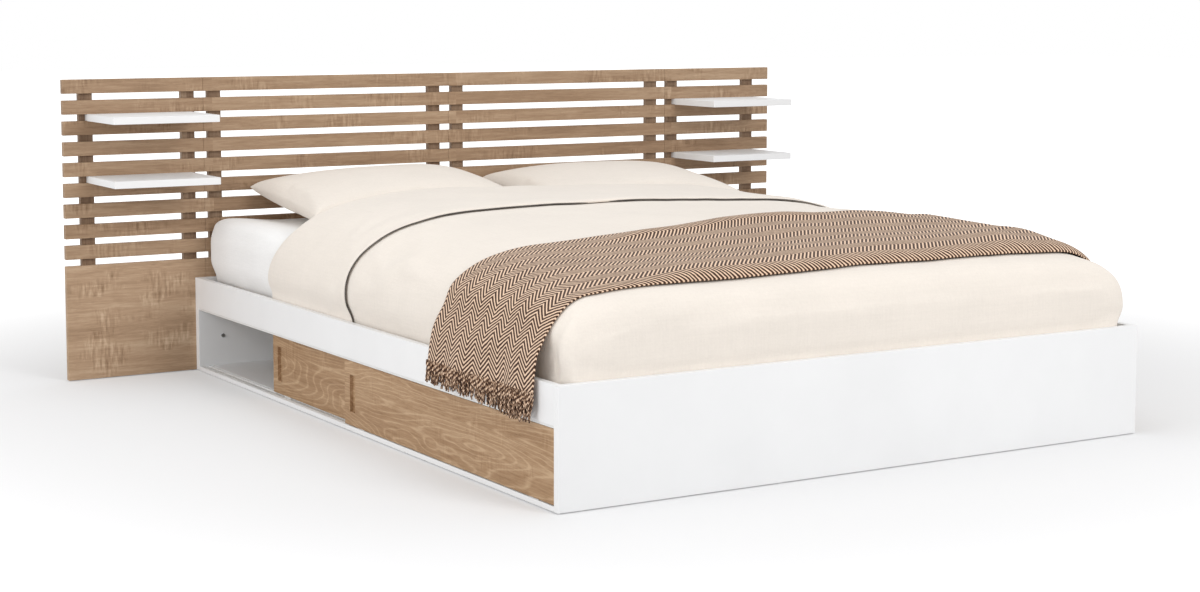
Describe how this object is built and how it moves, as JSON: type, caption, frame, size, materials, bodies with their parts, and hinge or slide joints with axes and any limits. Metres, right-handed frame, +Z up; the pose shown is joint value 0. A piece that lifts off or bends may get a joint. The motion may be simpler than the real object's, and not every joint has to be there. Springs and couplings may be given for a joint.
{
  "type": "storage bed",
  "caption": "Made-up double storage bed with a wide slatted oak-effect headboard, floating side shelves and a low white base with sliding side doors.",
  "frame": {"origin": "on the floor, at the middle of the bed's overall width and depth", "axes": "+X across the bed to the right of someone lying in it face up seen from the foot, +Y towards the headboard, +Z up"},
  "size_m": [2.4496, 2.1406, 0.861],
  "materials": {
    "oak_panel": "sawn oak effect, matt, horizontal grain",
    "oak_slat": "sawn oak effect, matt, horizontal grain",
    "oak_post": "sawn oak effect, matt, vertical grain",
    "oak_door": "sawn oak effect, matt, horizontal grain",
    "white_board": "white melamine, satin",
    "plain_timber": "planed softwood, bare",
    "white_plastic": "extruded, satin",
    "zinc_steel": "zinc plated",
    "white_cotton": "cotton sheet",
    "cream_linen": "washed linen weave",
    "woven_throw": "brown and cream herringbone weave with a knotted fringe"
  },
  "bodies": {
    "bed": {"bracket_screws": "zinc_steel", "centre_beam": "plain_timber", "centre_divider": "white_board", "corner_brackets": "zinc_steel", "duvet": "cream_linen", "floor_glides": "white_plastic", "foot_panel": "white_board", "head_panel": "white_board", "headboard_bolts": "zinc_steel", "joining_plates": "zinc_steel", "joining_screws": "zinc_steel", "left_bed_slats": "plain_timber", "left_bottom_track": "white_plastic", "left_centre_base_panel": "oak_panel", "left_centre_inner_post": "oak_post", "left_centre_outer_post": "oak_post", "left_centre_slats": "oak_slat", "left_ledger": "plain_timber", "left_lower_shelf": "white_board", "left_niche_floor": "white_board", "left_pillow": "cream_linen", "left_side_rail": "white_board", "left_top_track": "white_plastic", "left_upper_shelf": "white_board", "left_wing_base_panel": "oak_panel", "left_wing_inner_post": "oak_post", "left_wing_outer_post": "oak_post", "left_wing_slats": "oak_slat", "mattress": "white_cotton", "panel_dowels": "plain_timber", "right_bed_slats": "plain_timber", "right_bottom_track": "white_plastic", "right_centre_base_panel": "oak_panel", "right_centre_inner_post": "oak_post", "right_centre_outer_post": "oak_post", "right_centre_slats": "oak_slat", "right_ledger": "plain_timber", "right_lower_shelf": "white_board", "right_niche_floor": "white_board", "right_pillow": "cream_linen", "right_side_rail": "white_board", "right_top_track": "white_plastic", "right_upper_shelf": "white_board", "right_wing_base_panel": "oak_panel", "right_wing_inner_post": "oak_post", "right_wing_outer_post": "oak_post", "right_wing_slats": "oak_slat", "shelf_screws": "zinc_steel", "slat_screws": "zinc_steel", "throw": "woven_throw"},
    "left_front_door": {"left_front_door": "oak_door", "left_front_door_glides": "white_plastic"},
    "left_rear_door": {"left_rear_door": "oak_door", "left_rear_door_glides": "white_plastic"},
    "right_front_door": {"right_front_door": "oak_door", "right_front_door_glides": "white_plastic"},
    "right_rear_door": {"right_rear_door": "oak_door", "right_rear_door_glides": "white_plastic"}
  },
  "joints": [
    {"name": "left_front_door_slide", "type": "slide", "parent": "bed", "child": "left_front_door", "axis": [0, 1, 0], "range_m": [0, 1.009]},
    {"name": "left_rear_door_slide", "type": "slide", "parent": "bed", "child": "left_rear_door", "axis": [0, 1, 0], "range_m": [-0.509, 0.5]},
    {"name": "right_front_door_slide", "type": "slide", "parent": "bed", "child": "right_front_door", "axis": [0, 1, 0], "range_m": [0, 1.009]},
    {"name": "right_rear_door_slide", "type": "slide", "parent": "bed", "child": "right_rear_door", "axis": [0, 1, 0], "range_m": [-1.009, 0]}
  ]
}
